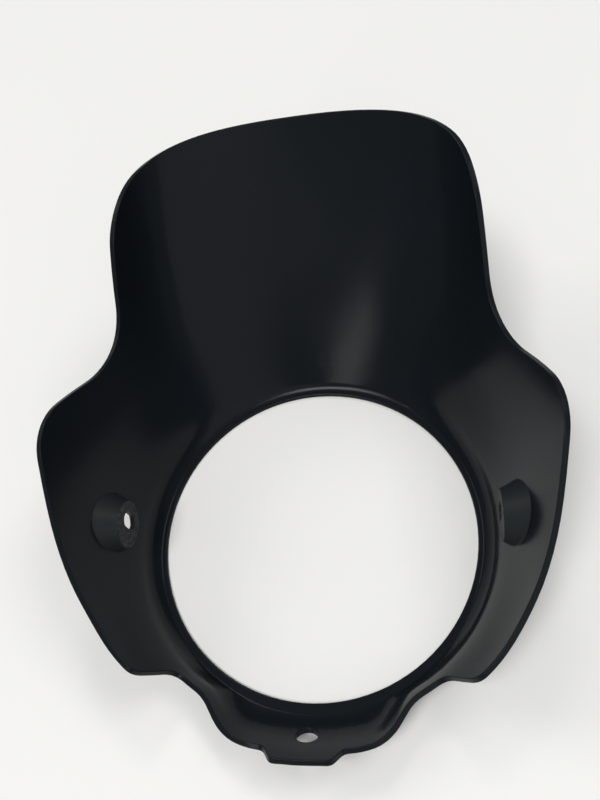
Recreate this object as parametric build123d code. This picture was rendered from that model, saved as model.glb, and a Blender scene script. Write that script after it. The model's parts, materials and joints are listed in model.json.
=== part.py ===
from build123d import *
import math
import os

# Headlight cowl: one moulded shell that flares back from a round lamp opening into a raked screen,
# two side wings and a bottom lip. X is the rider's right, Y is forward and Z is up. The origin is the
# centre of the lamp opening, in the rear face of its flange. Lengths are in millimetres, angles in
# degrees above the horizontal round the lamp axis, and depths are measured back from the flange.

# Shell and lamp opening
wall = 2.4
opening_radius = 80.0
flange_width = 4.6
flange_thickness = 2.0
front_chamfer = 1.2

# Form of the inner face: a bell round the lamp flares to the sides and swells underneath, and the
# screen rises from it over a shoulder that climbs towards the rear
wing_flare = 16.7
belly_swell = 17.0
belly_swell_depth = 29.5
squareness_gain = 0.009
screen_rake = 40.0
shoulder_angle = 43.0
shoulder_angle_gain = 0.127
shoulder_softness = 5.5

# Trough of the bottom lip
trough_depth = 12.3
trough_reach = 6.6
trough_edge_angle = 65.7
trough_edge_softness = 2.2

# Free edge, from the crown of the screen round the wing to the tab of the lip
crown_depth = 110.4
screen_corner_angle = 56.0
screen_corner_depth = 111.4
screen_corner_radius = 21.0
waist_angle = 39.2
waist_depth = 62.2
waist_radius = 24.0
wing_tip_angle = 11.5
wing_tip_depth = 89.4
wing_tip_radius = 25.0
wing_bend_angle = -30.0
wing_bend_depth = 44.8
wing_bend_radius = 80.0
wing_foot_angle = -45.2
wing_foot_depth = 35.5
wing_foot_radius = 8.0
notch_angle = -49.7
notch_depth = 17.2
notch_radius = 8.0
tab_root_angle = -80.4
tab_root_depth = 17.2
tab_root_radius = 3.0
tab_corner_angle = -82.6
tab_depth = 22.6
tab_corner_radius = 2.5

# Hollow bolt bosses on the wings
boss_projection = 5.6
boss_face_radius = 11.5
boss_taper = 28.0
boss_wall = 2.2
boss_depth = 30.5
boss_height = -4.5
slot_length = 12.0
slot_width = 7.6
slot_rise = 1.7

# Hole in the bottom lip
lip_hole_radius = 5.0
lip_hole_depth = 7.6

# Spacing of the sections and of the points along them
section_step = 6.0
angle_step = 6.0
rim_steps = 90
overrun = 8.0

ring_radius = opening_radius + flange_width
sheet_scale = math.radians(1) * 100


def tan(angle):
    return math.tan(math.radians(angle))


def logistic(value):
    return 1 / (1 + math.exp(-value))


def swell(depth, reach, power):
    """Smooth growth from 0 at the flange to 1 well behind it."""
    return 1 - math.exp(-((max(depth, 0) / reach) ** power))


def inner_radius(angle, depth):
    """Distance of the inner face from the lamp axis; the left side repeats the right."""
    sine = math.sin(math.radians(angle))
    cosine = math.cos(math.radians(angle))
    rise = math.degrees(math.asin(sine))
    half_width = ring_radius + depth * tan(wing_flare)
    drop = ring_radius + belly_swell * swell(depth, belly_swell_depth, 3)
    crown = ring_radius + depth * tan(screen_rake)
    power = 2 + squareness_gain * depth
    bell = (abs(cosine / half_width) ** power + abs(sine / drop) ** power) ** (-1 / power)
    shoulder = shoulder_angle + shoulder_angle_gain * depth
    screen = (crown - drop) * logistic((rise - shoulder) / shoulder_softness)
    trough = trough_depth * swell(depth, trough_reach, 1)
    return bell + screen + trough * logistic((-rise - trough_edge_angle) / trough_edge_softness)


def inner_point(angle, depth):
    radius = inner_radius(angle, depth)
    return Vector(radius * math.cos(math.radians(angle)), -depth, radius * math.sin(math.radians(angle)))


def inner_normal(angle, depth):
    """Direction through the wall from the inner face outwards."""
    step = 0.25
    around = inner_point(angle + step, depth) - inner_point(angle - step, depth)
    back = inner_point(angle, depth + step) - inner_point(angle, depth - step)
    return around.cross(back).normalized()


def outer_radius(angle, depth):
    """Distance from the lamp axis of the point one wall outside the inner face."""
    foot_angle = angle
    foot_depth = depth
    for _ in range(12):
        place = inner_point(foot_angle, foot_depth) + inner_normal(foot_angle, foot_depth) * wall
        turn = angle - math.degrees(math.atan2(place.Z, place.X))
        foot_angle += (turn + 180) % 360 - 180
        foot_depth += depth + place.Y
    return math.hypot(place.X, place.Z)


def body(radius_at, front, back):
    """Solid inside one of the two faces, lofted through sections across the lamp axis."""
    points = round(360 / angle_step)
    sections = []
    for j in range(math.ceil((front - back) / section_step) + 1):
        y = front - section_step * j
        places = []
        for i in range(points):
            angle = -90 + 360 * i / points
            radius = radius_at(angle, -y)
            places.append((radius * math.cos(math.radians(angle)), y, radius * math.sin(math.radians(angle))))
        parameters = [i / points for i in range(points + 1)]
        sections.append(Wire([Edge.make_spline(places, periodic=True, parameters=parameters)]))
    return Solid.make_loft(sections)


def free_edge():
    """Angle and depth of the rim of the inner face, all the way round from the crown."""
    corners = [
        (90, crown_depth),
        (screen_corner_angle, screen_corner_depth),
        (waist_angle, waist_depth),
        (wing_tip_angle, wing_tip_depth),
        (wing_bend_angle, wing_bend_depth),
        (wing_foot_angle, wing_foot_depth),
        (notch_angle, notch_depth),
        (tab_root_angle, tab_root_depth),
        (tab_corner_angle, tab_depth),
        (-90, tab_depth),
    ]
    radii = [
        screen_corner_radius,
        waist_radius,
        wing_tip_radius,
        wing_bend_radius,
        wing_foot_radius,
        notch_radius,
        tab_root_radius,
        tab_corner_radius,
    ]
    outline = FilletPolyline(*[(angle * sheet_scale, depth) for angle, depth in corners], radius=radii)
    right = [outline @ (i / rim_steps) for i in range(rim_steps + 1)]
    right = [(place.X / sheet_scale, place.Y) for place in right]
    left = [(180 - angle, depth) for angle, depth in right[-2:0:-1]]
    return right + left


def trimming_band():
    """Ruled face square to the wall along the free edge."""
    rim = free_edge()
    inside = [inner_point(*place) - inner_normal(*place) * wall / 2 for place in rim]
    outside = [inner_point(*place) + inner_normal(*place) * wall * 1.5 for place in rim]
    return Face.make_surface_from_curves(
        Edge.make_spline(inside, periodic=True), Edge.make_spline(outside, periodic=True)
    )


def boss_cone(start, radius, length):
    """Cone on the boss axis that widens outwards from X = start."""
    cone = Cone(radius, radius + length * tan(boss_taper), length, align=(Align.CENTER, Align.CENTER, Align.MIN))
    return Pos(start, -boss_depth, boss_height) * Rot(0, 90, 0) * cone


# Shell with its flange, trimmed square to the wall along the free edge
rear = -screen_corner_depth - overrun
shell = body(outer_radius, flange_thickness, rear) - body(inner_radius, 0, rear - section_step)
shell -= Rot(90, 0, 0) * Cylinder(opening_radius, 2 * overrun)
trimmed = ShapeList(shell.split(trimming_band(), keep=Keep.ALL)).solids()
shell = trimmed.sort_by(lambda solid: solid.bounding_box().max.Y)[-1]

# Bosses up to the middle of the wall, hollowed from outside and slotted for the bolts
boss_angle = math.degrees(math.asin(boss_height / inner_radius(0, boss_depth)))
boss_root = inner_point(boss_angle, boss_depth)
wall_normal = inner_normal(boss_angle, boss_depth)
wall_middle = Plane(origin=boss_root + wall_normal * wall / 2, z_dir=wall_normal)
boss_face = boss_root.X - boss_projection
boss_length = 2 * (boss_projection + boss_face_radius * tan(wing_flare) + wall)
boss = boss_cone(boss_face, boss_face_radius, boss_length).split(wall_middle, keep=Keep.BOTTOM)
pocket_radius = boss_face_radius + boss_wall * (tan(boss_taper) - 1 / math.cos(math.radians(boss_taper)))
pocket = boss_cone(boss_face + boss_wall, pocket_radius, 2 * boss_length)
slot_start = (boss_face - boss_wall, -boss_depth, boss_height + slot_rise)
slot_plane = Plane(origin=slot_start, x_dir=(0, 1, 0), z_dir=(1, 0, 0))
slot = extrude(slot_plane * SlotOverall(slot_length, slot_width), 3 * boss_wall)
shell = shell + boss + boss.mirror(Plane.YZ)
shell = shell - pocket - pocket.mirror(Plane.YZ) - slot - slot.mirror(Plane.YZ)

# Hole square to the bottom lip
hole_plane = Plane(origin=inner_point(-90, lip_hole_depth), z_dir=inner_normal(-90, lip_hole_depth))
shell -= hole_plane * Cylinder(lip_hole_radius, 6 * wall)

# Chamfered front edge
front_edge = shell.edges().group_by(Axis.Y)[-1].sort_by(SortBy.LENGTH)[-1]
shell = shell.chamfer(front_chamfer, None, [front_edge])

os.makedirs("parts", exist_ok=True)
export_step(shell, "parts/cowl_shell.step")
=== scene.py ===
import json
import math

import bpy
from mathutils import Matrix, Vector

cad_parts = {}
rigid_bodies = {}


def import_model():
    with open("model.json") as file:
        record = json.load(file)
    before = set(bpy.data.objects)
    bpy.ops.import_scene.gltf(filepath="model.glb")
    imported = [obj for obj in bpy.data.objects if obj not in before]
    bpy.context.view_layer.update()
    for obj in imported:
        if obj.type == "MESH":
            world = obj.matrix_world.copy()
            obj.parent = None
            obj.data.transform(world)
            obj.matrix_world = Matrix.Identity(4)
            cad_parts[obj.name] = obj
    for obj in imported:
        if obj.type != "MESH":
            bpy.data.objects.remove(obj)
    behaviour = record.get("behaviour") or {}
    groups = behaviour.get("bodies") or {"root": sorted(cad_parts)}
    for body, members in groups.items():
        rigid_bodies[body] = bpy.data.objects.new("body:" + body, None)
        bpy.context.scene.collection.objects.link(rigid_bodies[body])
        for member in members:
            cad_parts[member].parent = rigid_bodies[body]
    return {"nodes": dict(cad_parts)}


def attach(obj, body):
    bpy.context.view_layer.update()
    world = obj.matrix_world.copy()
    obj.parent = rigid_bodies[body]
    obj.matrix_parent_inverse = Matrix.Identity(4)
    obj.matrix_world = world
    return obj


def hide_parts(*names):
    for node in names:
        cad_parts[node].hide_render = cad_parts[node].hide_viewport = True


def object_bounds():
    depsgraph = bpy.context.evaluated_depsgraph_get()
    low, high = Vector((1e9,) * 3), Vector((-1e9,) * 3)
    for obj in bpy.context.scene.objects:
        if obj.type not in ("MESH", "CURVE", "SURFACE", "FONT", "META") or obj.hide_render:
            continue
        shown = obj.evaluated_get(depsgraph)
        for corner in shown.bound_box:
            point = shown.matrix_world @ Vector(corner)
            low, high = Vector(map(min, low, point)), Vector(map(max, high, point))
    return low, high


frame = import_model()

# Headlight cowl lying face down on a pale table, seen from the rider's side.
# Lengths are in metres in the cowl's own frame: X right, Y forward, Z up, origin in the lamp opening.

solid_box = [list(corner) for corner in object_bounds()]

# Camera
IMAGE_HEIGHT = 800
FOCAL_PIXELS = 650
CAMERA_PLACE = Vector((0.0576, -0.3171, -0.1038))
CAMERA_FORWARD = Vector((-0.1861, 0.8530, 0.4876))
CAMERA_UP = Vector((0.0587, -0.4857, 0.8721))
NEAREST_SEEN = 0.01

# Plastic of the shell
PLASTIC_GREEN_TINT = (0.0070, 0.0094, 0.0105, 1)
PLASTIC_BLUE_TINT = (0.0074, 0.0092, 0.0134, 1)
PLASTIC_IOR = 1.20
PLASTIC_ROUGHNESS = 0.14
ROUGHNESS_DRIFT = 0.12
DRIFT_SCALE = 16.0
GRAIN_SCALE = 1400.0
GRAIN_STRENGTH = 0.05
GRAIN_HEIGHT = 0.0002
NOISE_DETAIL = 2.0
NOISE_HARSHNESS = 0.5
EDGE_RADIUS = 0.0008
EDGE_SAMPLES = 6

# Bosses, lighter than the shell partly through a painted highlight, with torn skin on their end faces
# Lighter grey of the bosses: partly their own greyer, less blue plastic, partly a painted highlight
# standing in for side light on their cones
BOSS_GREY_AND_PAINTED_HIGHLIGHT = (0.0170, 0.0200, 0.0215, 1)
BOSS_ROUGHNESS = 0.22
BOSS_CENTRE = (0, -0.0305, -0.0045)
BOSS_END_RADIUS = 0.0118
BOSS_END_PLACE = 0.0884
BOSS_SPREAD = 0.53
TORN_COLOUR = (0.085, 0.090, 0.096, 1)
TORN_SCALE = 700.0
TORN_DETAIL = 4.0
TORN_HARSHNESS = 0.7
TORN_STRENGTH = 0.9
TORN_HEIGHT = 0.0012
FLECK_START = 0.45
FLECK_FULL = 0.7

# Dish of the wall round the lamp ring
OPENING_RADIUS = 0.080
WALL_RADIUS = 0.0846
DISH_ROWS = 8
DISH_FIRST_ROW = 0.0034
DISH_ROW_STEP = 0.0014
RING_NARROWING = 0.0022
DISH_CROSSING = 0.0036
DISH_REACH = 0.0066

# Rounding of the ring's edges, larger towards the crown
RING_EDGE_RADIUS = 0.0007
CROWN_ROUNDING = 0.0025
CROWN_ROUNDING_START = 0.055
RING_ROUNDING = RING_EDGE_RADIUS + CROWN_ROUNDING
ROUNDING_SEGMENTS = 4
SMOOTH_ANGLE = math.radians(32)

# Tolerances for picking out and joining points of the mesh
SAME_POINT = 1e-6
SAME_LEVEL = 1e-5
CLOSE_ON_RING = 0.0008
RING_MARGIN = 0.001
SAME_RADIUS = 0.0005

# Table and light
TABLE_GAP = 0.0002
TABLE_SIZE = 4.0
TABLE_COLOUR = (0.84, 0.83, 0.81, 1)
ROOM_COLOUR = (0.97, 1.0, 1.0, 1)
ROOM_LIGHT = 0.22
COWL_MIDDLE = (0, -0.05, 0.03)
SCREEN_MIDDLE = (0, -0.07, 0.14)

# Name, place, aim, width and height, and power in watts of each light
SOFT_LIGHTS = (
    ("key_light", (-0.8, -3.78, -1.0), COWL_MIDDLE, (1.3, 1.3), 72),
    ("window", (-0.50, -0.62, -1.2), (0, -0.05, 0.13), (0.20, 0.35), 1.2),
    ("left_fill", (-1.8, -1.5, 0.82), COWL_MIDDLE, (0.9, 1.0), 11),
    ("right_fill", (1.2, -2.05, 0.7), COWL_MIDDLE, (0.9, 1.0), 12),
    ("far_fill", (0.0, -1.9, 1.62), COWL_MIDDLE, (0.4, 0.4), 6),
    ("back_fill", (0.45, -0.85, -0.80), SCREEN_MIDDLE, (1.4, 1.0), 3.2),
)


class Channel:
    """A socket of a finish; arithmetic on it adds Math nodes."""

    def __init__(self, finish, socket):
        self.finish = finish
        self.socket = socket

    def math(self, operation, first, second):
        return self.finish.node("ShaderNodeMath", {"operation": operation}, {0: first, 1: second})

    def __add__(self, other):
        return self.math("ADD", self, other)

    def __radd__(self, other):
        return self.math("ADD", other, self)

    def __sub__(self, other):
        return self.math("SUBTRACT", self, other)

    def __rsub__(self, other):
        return self.math("SUBTRACT", other, self)

    def __mul__(self, other):
        return self.math("MULTIPLY", self, other)

    def __rmul__(self, other):
        return self.math("MULTIPLY", other, self)


class Finish:
    """The nodes of one material or of the room."""

    def __init__(self, owner):
        owner.use_nodes = True
        self.owner = owner
        self.tree = owner.node_tree
        self.tree.nodes.clear()

    def node(self, kind, settings=None, sockets=None, output=0):
        """Adds one node with its settings and socket values and gives one of its outputs, if it has any."""
        made = self.tree.nodes.new(kind)
        for name, value in (settings or {}).items():
            setattr(made, name, value)
        for name, value in (sockets or {}).items():
            if isinstance(value, Channel):
                self.tree.links.new(value.socket, made.inputs[name])
            else:
                made.inputs[name].default_value = value
        return Channel(self, made.outputs[output]) if made.outputs else None


def boss_masks(finish, place):
    """1 on the two bosses and 1 on their end faces, 0 elsewhere."""
    mirrored = finish.node("ShaderNodeVectorMath", {"operation": "ABSOLUTE"}, {0: place})
    across = finish.node("ShaderNodeSeparateXYZ", None, {0: mirrored}, "X")
    offset = finish.node("ShaderNodeVectorMath", {"operation": "SUBTRACT"}, {0: place, 1: BOSS_CENTRE})
    beside = finish.node("ShaderNodeVectorMath", {"operation": "MULTIPLY"}, {0: offset, 1: (0, 1, 1)})
    distance = finish.node("ShaderNodeVectorMath", {"operation": "LENGTH"}, {0: beside}, "Value")
    cone = distance - BOSS_SPREAD * (across - BOSS_END_PLACE)
    on_boss = finish.node("ShaderNodeMath", {"operation": "LESS_THAN"}, {0: cone, 1: BOSS_END_RADIUS})
    at_end = finish.node("ShaderNodeMath", {"operation": "LESS_THAN"}, {0: across, 1: BOSS_END_PLACE})
    return on_boss, on_boss * at_end


def noise(finish, place, scale, detail, harshness):
    """Random mottling from 0 to 1 over the surface."""
    sockets = {"Vector": place, "Scale": scale, "Detail": detail, "Roughness": harshness}
    return finish.node("ShaderNodeTexNoise", None, sockets)


def raised(finish, height, strength, distance, normal):
    """Normal of a surface that stands up where the height is large."""
    sockets = {"Height": height, "Strength": strength, "Distance": distance, "Normal": normal}
    return finish.node("ShaderNodeBump", None, sockets)


def blended_colour(finish, share, first, second):
    """Colour that goes from the first to the second as the share goes from 0 to 1."""
    first_colour, second_colour, blended = 6, 7, 2
    sockets = {"Factor": share, first_colour: first, second_colour: second}
    return finish.node("ShaderNodeMix", {"data_type": "RGBA"}, sockets, blended)


def moulded_plastic():
    """Black moulded plastic with a soft drift of tone and gloss and slightly rounded edges."""
    finish = Finish(bpy.data.materials.new("black_moulded_plastic"))
    place = finish.node("ShaderNodeTexCoord", None, None, "Object")
    drift = noise(finish, place, DRIFT_SCALE, NOISE_DETAIL, NOISE_HARSHNESS)
    grain = noise(finish, place, GRAIN_SCALE, NOISE_DETAIL, NOISE_HARSHNESS)
    torn = noise(finish, place, TORN_SCALE, TORN_DETAIL, TORN_HARSHNESS)
    boss, boss_end = boss_masks(finish, place)
    tint = blended_colour(finish, drift, PLASTIC_GREEN_TINT, PLASTIC_BLUE_TINT)
    # The bosses take a lighter grey, which is partly their own plastic and partly a painted highlight
    body = blended_colour(finish, boss, tint, BOSS_GREY_AND_PAINTED_HIGHLIGHT)
    fleck_range = {"Value": torn, "From Min": FLECK_START, "From Max": FLECK_FULL}
    flecks = finish.node("ShaderNodeMapRange", None, fleck_range)
    colour = blended_colour(finish, flecks * boss_end, body, TORN_COLOUR)
    rounded = finish.node("ShaderNodeBevel", {"samples": EDGE_SAMPLES}, {"Radius": EDGE_RADIUS})
    moulded = raised(finish, grain, GRAIN_STRENGTH, GRAIN_HEIGHT, rounded)
    relief = raised(finish, torn * boss_end, TORN_STRENGTH, TORN_HEIGHT, moulded)
    surface = finish.node(
        "ShaderNodeBsdfPrincipled",
        None,
        {
            "Base Color": colour,
            "Roughness": PLASTIC_ROUGHNESS + ROUGHNESS_DRIFT * drift + BOSS_ROUGHNESS * boss,
            "IOR": PLASTIC_IOR,
            "Normal": relief,
        },
    )
    finish.node("ShaderNodeOutputMaterial", None, {"Surface": surface})
    return finish.owner


def shell_copy(node):
    """Copy of the shell in one skin, cut in rows where its dish will bend."""
    bpy.ops.object.select_all(action="DESELECT")
    node.select_set(True)
    bpy.context.view_layer.objects.active = node
    bpy.ops.object.duplicate()
    piece = bpy.context.object
    piece.name = "moulded_cowl"
    bpy.ops.object.parent_clear(type="CLEAR_KEEP_TRANSFORM")
    bpy.ops.object.mode_set(mode="EDIT")
    bpy.ops.mesh.select_mode(type="EDGE")
    bpy.ops.mesh.select_all(action="SELECT")
    bpy.ops.mesh.remove_doubles(threshold=SAME_POINT)
    bpy.ops.mesh.customdata_custom_splitnormals_clear()
    for row in range(DISH_ROWS):
        bpy.ops.mesh.select_all(action="SELECT")
        bpy.ops.mesh.bisect(plane_co=(0, -DISH_FIRST_ROW - DISH_ROW_STEP * row, 0), plane_no=(0, 1, 0))
    bpy.ops.mesh.select_all(action="DESELECT")
    bpy.ops.object.mode_set(mode="OBJECT")
    return piece


def on_ring(place):
    """Whether a point lies on the rear face of the flange."""
    return abs(place.y) < SAME_LEVEL and place.xz.length < WALL_RADIUS + RING_MARGIN


def merge_close_ring_points(mesh):
    for vertex in mesh.vertices:
        vertex.select = on_ring(vertex.co)
    bpy.ops.object.mode_set(mode="EDIT")
    bpy.ops.mesh.select_mode(type="VERT")
    bpy.ops.mesh.remove_doubles(threshold=CLOSE_ON_RING)
    bpy.ops.object.mode_set(mode="OBJECT")


def ring_edges(mesh):
    """Edges that run round the rear face of the flange, at the opening and at the wall."""
    found = []
    for edge in mesh.edges:
        start, end = [mesh.vertices[i].co for i in edge.vertices]
        if on_ring(start) and on_ring(end) and abs(start.xz.length - end.xz.length) < SAME_RADIUS:
            found.append(edge.index)
    return found


def dish_change(depth):
    """Change of the wall's half width: less at the ring, more past the crossing, and none further back."""
    return RING_NARROWING * (depth / DISH_CROSSING - 1) * math.exp(-((depth / DISH_REACH) ** 2))


def open_dish(mesh):
    """Moves the inner face of the wall sideways, by its depth behind the flange."""
    for vertex in mesh.vertices:
        across = vertex.co.xz
        faces_in = vertex.normal.xz.dot(across) < 0
        if faces_in and vertex.co.y < SAME_LEVEL and across.length > OPENING_RADIUS + RING_MARGIN:
            vertex.co.x *= 1 + dish_change(-vertex.co.y) / WALL_RADIUS


def round_ring(piece, edges):
    """Rounds the two edges of the flange, the one at the wall more towards the crown."""
    mesh = piece.data
    weights = mesh.attributes.new("bevel_weight_edge", "FLOAT", "EDGE")
    for index in edges:
        place = mesh.vertices[mesh.edges[index].vertices[0]].co
        crown = min(max((place.z - CROWN_ROUNDING_START) / (WALL_RADIUS - CROWN_ROUNDING_START), 0), 1)
        at_wall = place.xz.length > OPENING_RADIUS + RING_MARGIN
        weights.data[index].value = (RING_EDGE_RADIUS + at_wall * crown * CROWN_ROUNDING) / RING_ROUNDING
    rounding = piece.modifiers.new("ring_rounding", "BEVEL")
    rounding.limit_method = "WEIGHT"
    rounding.width = RING_ROUNDING
    rounding.segments = ROUNDING_SEGMENTS
    bpy.ops.object.modifier_apply(modifier=rounding.name)


def add_cowl():
    """The shell with its wall opened in a dish round the lamp ring and the ring's edges rounded."""
    piece = shell_copy(frame["nodes"]["cowl_shell"])
    merge_close_ring_points(piece.data)
    edges = ring_edges(piece.data)
    open_dish(piece.data)
    round_ring(piece, edges)
    bpy.ops.object.shade_smooth_by_angle(angle=SMOOTH_ANGLE)
    piece.data.materials.clear()
    piece.data.materials.append(moulded_plastic())
    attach(piece, "root")
    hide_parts("cowl_shell")


def table_finish():
    """Pale table that shows only from the side on which the cowl lies."""
    finish = Finish(bpy.data.materials.new("pale_table"))
    top = finish.node("ShaderNodeBsdfDiffuse", None, {"Color": TABLE_COLOUR})
    clear = finish.node("ShaderNodeBsdfTransparent")
    underside = finish.node("ShaderNodeNewGeometry", None, None, "Backfacing")
    surface = finish.node("ShaderNodeMixShader", None, {0: underside, 1: top, 2: clear})
    finish.node("ShaderNodeOutputMaterial", None, {"Surface": surface})
    return finish.owner


def add_table():
    table_depth = solid_box[1][1] + TABLE_GAP
    upright = (math.pi / 2, 0, 0)
    bpy.ops.mesh.primitive_plane_add(size=TABLE_SIZE, location=(0, table_depth, 0), rotation=upright)
    table = bpy.context.object
    table.name = "table"
    table.data.materials.append(table_finish())


def add_room():
    """Even light from all round, with a plain pale backdrop."""
    world = bpy.data.worlds.new("room")
    bpy.context.scene.world = world
    room = Finish(world)
    seen = room.node("ShaderNodeLightPath", None, None, "Is Camera Ray")
    strength = ROOM_LIGHT + (1 - ROOM_LIGHT) * seen
    light = room.node("ShaderNodeBackground", None, {"Color": ROOM_COLOUR, "Strength": strength})
    room.node("ShaderNodeOutputWorld", None, {"Surface": light})


def add_soft_light(name, place, aim, size, power):
    lamp = bpy.data.lights.new(name, "AREA")
    lamp.shape = "RECTANGLE"
    lamp.size, lamp.size_y = size
    lamp.energy = power
    turn = (Vector(aim) - Vector(place)).to_track_quat("-Z", "Y").to_matrix()
    light = bpy.data.objects.new(name, lamp)
    light.matrix_world = Matrix.Translation(place) @ turn.to_4x4()
    light.visible_camera = False
    bpy.context.scene.collection.objects.link(light)


def add_camera():
    camera = bpy.data.cameras.new("camera")
    camera.lens = camera.sensor_width * FOCAL_PIXELS / IMAGE_HEIGHT
    camera.clip_start = NEAREST_SEEN
    right = CAMERA_FORWARD.cross(CAMERA_UP).normalized()
    up = right.cross(CAMERA_FORWARD).normalized()
    turn = Matrix((right, up, -CAMERA_FORWARD.normalized())).transposed()
    eye = bpy.data.objects.new("camera", camera)
    eye.matrix_world = Matrix.Translation(CAMERA_PLACE) @ turn.to_4x4()
    bpy.context.scene.collection.objects.link(eye)
    bpy.context.scene.camera = eye


bpy.context.scene.view_settings.view_transform = "Standard"
add_cowl()
add_table()
add_room()
for soft_light in SOFT_LIGHTS:
    add_soft_light(*soft_light)
add_camera()
